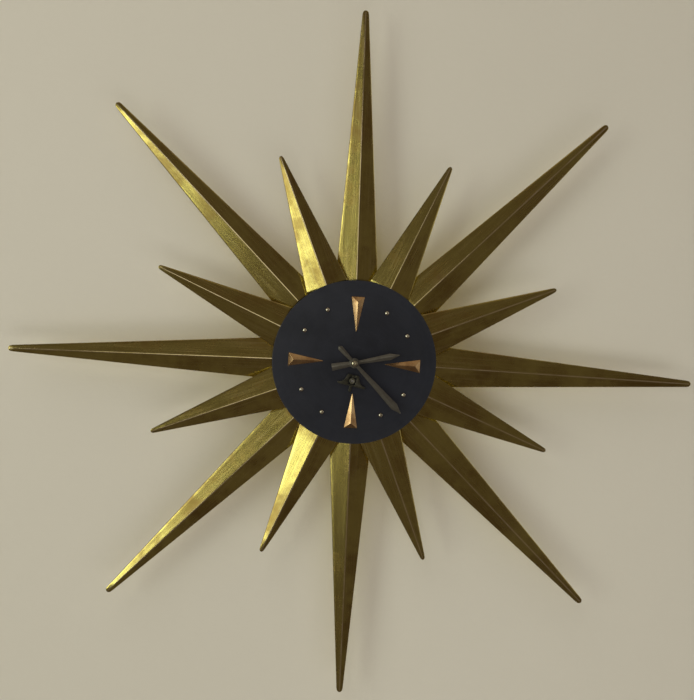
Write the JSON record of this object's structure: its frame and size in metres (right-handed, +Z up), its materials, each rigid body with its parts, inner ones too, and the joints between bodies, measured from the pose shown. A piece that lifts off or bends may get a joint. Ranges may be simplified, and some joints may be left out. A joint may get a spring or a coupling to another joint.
{
  "type": "sunburst wall clock",
  "caption": "Round wall clock with a starburst of folded brass rays, a dark dial, baton hands, a fold-flat winding key and a spring-driven balance movement.",
  "frame": {"origin": "the point of the rear case's flat back that lies on the axis of the hands, on the wall plane", "axes": "+X right and +Z up (towards twelve) as the clock is read, +Y into the wall, so the dial faces -Y"},
  "size_m": [0.69, 0.0593, 0.6899],
  "materials": {
    "ray_brass": "folded sheet brass, brushed along its length, tarnished in soft brown blotches, ridge rubbed bright",
    "dial_black": "satin charcoal paint with faint scuffs",
    "marker_brass": "polished cast brass, slightly coppery",
    "stud_brass": "polished pale brass",
    "hand_dark": "dark bronzed steel, two brushed facets",
    "nut_brass": "pale polished brass",
    "key_bronze": "dark bronzed steel, handled edges rubbed bright",
    "steel": "turned steel",
    "zinc_steel": "zinc-plated sheet steel",
    "case_black": "black stove enamel, slightly textured",
    "plate_brass": "rolled brass sheet, fine grain",
    "wheel_brass": "lathe-turned brass",
    "spring_steel": "blued spring steel"
  },
  "bodies": {
    "frame": {"ray_long_1": "ray_brass", "ray_long_2": "ray_brass", "ray_long_3": "ray_brass", "ray_long_4": "ray_brass", "ray_long_5": "ray_brass", "ray_long_6": "ray_brass", "ray_long_7": "ray_brass", "ray_long_8": "ray_brass", "ray_short_1": "ray_brass", "ray_short_2": "ray_brass", "ray_short_3": "ray_brass", "ray_short_4": "ray_brass", "ray_short_5": "ray_brass", "ray_short_6": "ray_brass", "ray_short_7": "ray_brass", "ray_short_8": "ray_brass", "dial": "dial_black", "marker_12": "marker_brass", "marker_3": "marker_brass", "marker_6": "marker_brass", "marker_9": "marker_brass", "stud_1": "stud_brass", "stud_2": "stud_brass", "stud_4": "stud_brass", "stud_5": "stud_brass", "stud_7": "stud_brass", "stud_8": "stud_brass", "stud_10": "stud_brass", "stud_11": "stud_brass", "rear_case": "case_black", "case_screw_1": "steel", "case_screw_2": "steel", "hanger_plate": "zinc_steel", "ray_carrier": "zinc_steel", "front_plate": "plate_brass", "back_plate": "plate_brass", "pillar_1": "steel", "pillar_2": "steel", "pillar_3": "steel"},
    "minute_hand": {"minute_hand": "hand_dark", "hand_nut": "nut_brass", "cannon_pinion": "steel"},
    "hour_hand": {"hour_hand": "hand_dark", "hour_wheel": "wheel_brass"},
    "minute_wheel": {"minute_wheel": "wheel_brass"},
    "winding": {"winding_arbor": "steel", "ratchet_wheel": "steel", "key_socket": "key_bronze"},
    "key_wings": {"key_wings": "key_bronze"},
    "click": {"click": "steel"},
    "barrel": {"mainspring_barrel": "wheel_brass", "mainspring": "spring_steel"},
    "intermediate_wheel": {"intermediate_wheel": "wheel_brass"},
    "centre_wheel": {"centre_wheel": "wheel_brass"},
    "third_wheel": {"third_wheel": "wheel_brass"},
    "fourth_wheel": {"fourth_wheel": "wheel_brass"},
    "escape_wheel": {"escape_wheel": "wheel_brass"},
    "pallet_lever": {"pallet_lever": "steel"},
    "balance": {"balance_wheel": "wheel_brass", "hairspring": "spring_steel"}
  },
  "joints": [
    {"name": "minute_hand_turn", "type": "hinge", "parent": "frame", "child": "minute_hand", "pos_m": [0, -0.058, 0], "axis": [0, 1, 0], "continuous": true},
    {"name": "hour_hand_turn", "type": "hinge", "parent": "frame", "child": "hour_hand", "pos_m": [0, -0.0555, 0], "axis": [0, 1, 0], "continuous": true},
    {"name": "minute_wheel_turn", "type": "hinge", "parent": "frame", "child": "minute_wheel", "pos_m": [0.01247, -0.034, 0.0072], "axis": [0, 1, 0], "continuous": true},
    {"name": "winding", "type": "hinge", "parent": "frame", "child": "winding", "pos_m": [-0.001, -0.05, -0.0178], "axis": [0, 1, 0], "range_deg": [0, 1440]},
    {"name": "key_fold", "type": "hinge", "parent": "winding", "child": "key_wings", "pos_m": [-0.00015, -0.0506, -0.01318], "axis": [-0.9836, 0, 0.1805], "range_deg": [0, 90]},
    {"name": "click_lift", "type": "hinge", "parent": "frame", "child": "click", "pos_m": [-0.01021, -0.0325, -0.01445], "axis": [0, -1, 0], "range_deg": [0, 8], "stiffness_Nm_per_rad": 0.0005},
    {"name": "fourth_wheel_turn", "type": "hinge", "parent": "frame", "child": "fourth_wheel", "pos_m": [-0.00349, -0.02, 0.01816], "axis": [0, 1, 0], "continuous": true},
    {"name": "third_wheel_turn", "type": "hinge", "parent": "frame", "child": "third_wheel", "pos_m": [-0.0118, -0.02, 0.00826], "axis": [0, 1, 0], "continuous": true},
    {"name": "centre_wheel_turn", "type": "hinge", "parent": "frame", "child": "centre_wheel", "pos_m": [0, -0.02, 0], "axis": [0, 1, 0], "continuous": true},
    {"name": "intermediate_wheel_turn", "type": "hinge", "parent": "frame", "child": "intermediate_wheel", "pos_m": [0.01226, -0.02, -0.00829], "axis": [0, 1, 0], "continuous": true},
    {"name": "barrel_turn", "type": "hinge", "parent": "frame", "child": "barrel", "pos_m": [-0.001, -0.02, -0.0178], "axis": [0, 1, 0], "continuous": true},
    {"name": "escape_wheel_turn", "type": "hinge", "parent": "frame", "child": "escape_wheel", "pos_m": [0.00821, -0.02, 0.01609], "axis": [0, 1, 0], "continuous": true},
    {"name": "pallet_rock", "type": "hinge", "parent": "frame", "child": "pallet_lever", "pos_m": [0.0169, -0.02, 0.01376], "axis": [0, 1, 0], "range_deg": [-4, 4]},
    {"name": "balance_swing", "type": "hinge", "parent": "frame", "child": "balance", "pos_m": [0.02686, -0.02, 0.00801], "axis": [0, 1, 0], "range_deg": [-270, 270], "stiffness_Nm_per_rad": 0.000017}
  ],
  "couplings": [
    {"joint": "hour_hand_turn", "follows": "minute_hand_turn", "ratio": 0.083333},
    {"joint": "minute_wheel_turn", "follows": "minute_hand_turn", "ratio": -0.33333},
    {"joint": "third_wheel_turn", "follows": "fourth_wheel_turn", "ratio": -0.13333},
    {"joint": "centre_wheel_turn", "follows": "fourth_wheel_turn", "ratio": 0.016667},
    {"joint": "intermediate_wheel_turn", "follows": "fourth_wheel_turn", "ratio": -0.0024306},
    {"joint": "barrel_turn", "follows": "fourth_wheel_turn", "ratio": 0.00034722},
    {"joint": "escape_wheel_turn", "follows": "fourth_wheel_turn", "ratio": -8}
  ]
}
